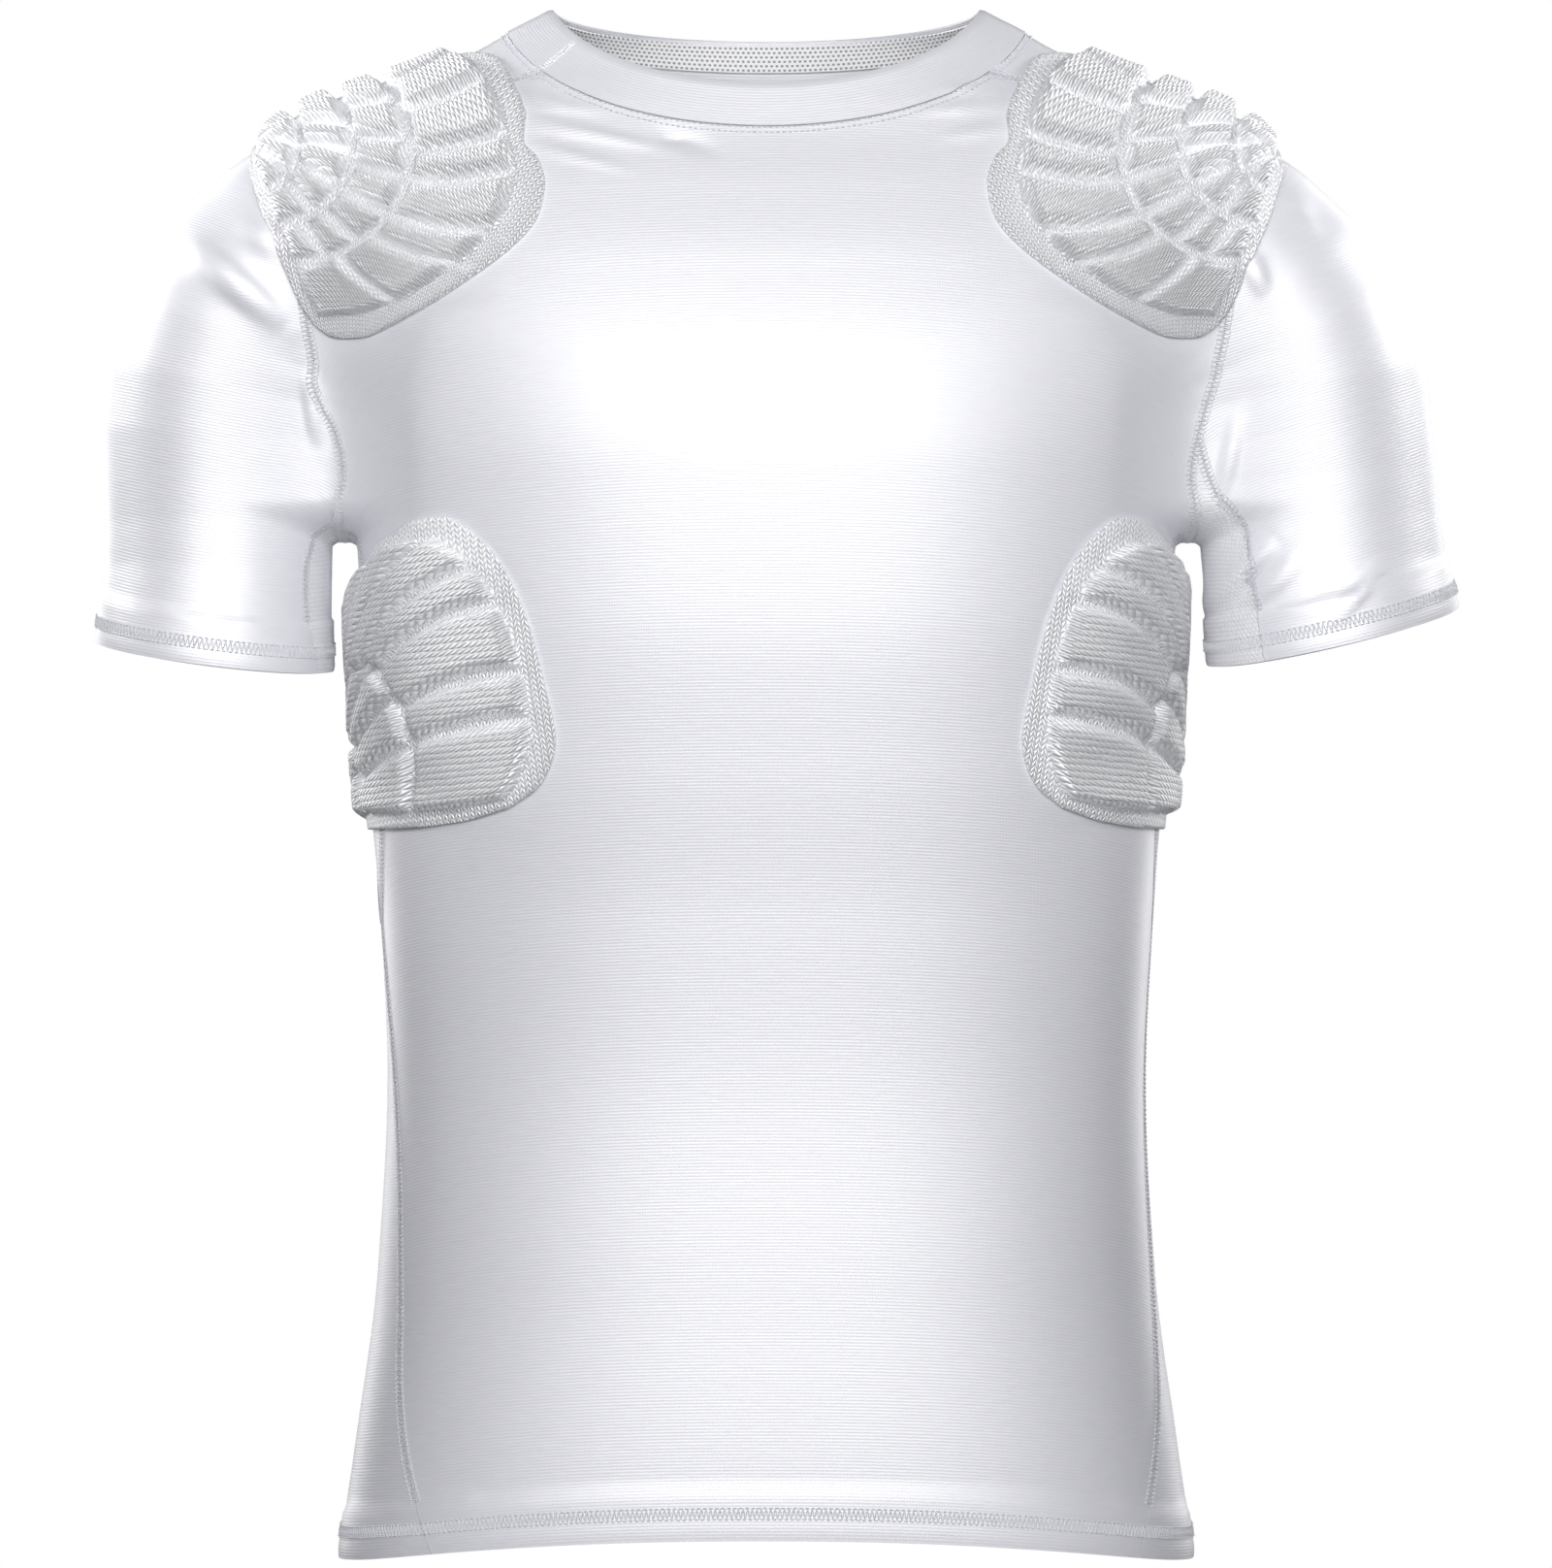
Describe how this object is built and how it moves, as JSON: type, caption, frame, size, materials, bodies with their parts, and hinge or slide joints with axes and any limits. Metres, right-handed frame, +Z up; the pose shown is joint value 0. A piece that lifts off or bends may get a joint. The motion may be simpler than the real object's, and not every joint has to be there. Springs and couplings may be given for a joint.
{
  "type": "padded compression shirt",
  "caption": "Short-sleeved crew-neck compression shirt, hollow as worn, with moulded foam pads over the shoulders and ribs and mesh under the arms.",
  "frame": {"origin": "in the middle of the neck opening, level with the sides of the collar seam, where the wearer's shoulders carry the shirt", "axes": "+Z up towards the neck, -Y out of the front, +X towards the wearer's left sleeve"},
  "size_m": [0.6172, 0.2376, 0.701],
  "materials": {
    "knit": "smooth white stretch knit with a satin sheen",
    "mesh": "white open mesh knit",
    "tape": "fine white tape",
    "pad": "white ribbed knit bonded over moulded foam cells"
  },
  "bodies": {
    "root": {"front_panel": "knit", "back_panel": "knit", "side_gusset_right": "mesh", "side_gusset_left": "mesh", "sleeve_right": "knit", "sleeve_left": "knit", "sleeve_gusset_right": "mesh", "sleeve_gusset_left": "mesh", "collar_band": "knit", "neck_tape": "tape", "shoulder_pad_right": "pad", "shoulder_pad_left": "pad", "rib_pad_right": "pad", "rib_pad_left": "pad"}
  },
  "joints": []
}
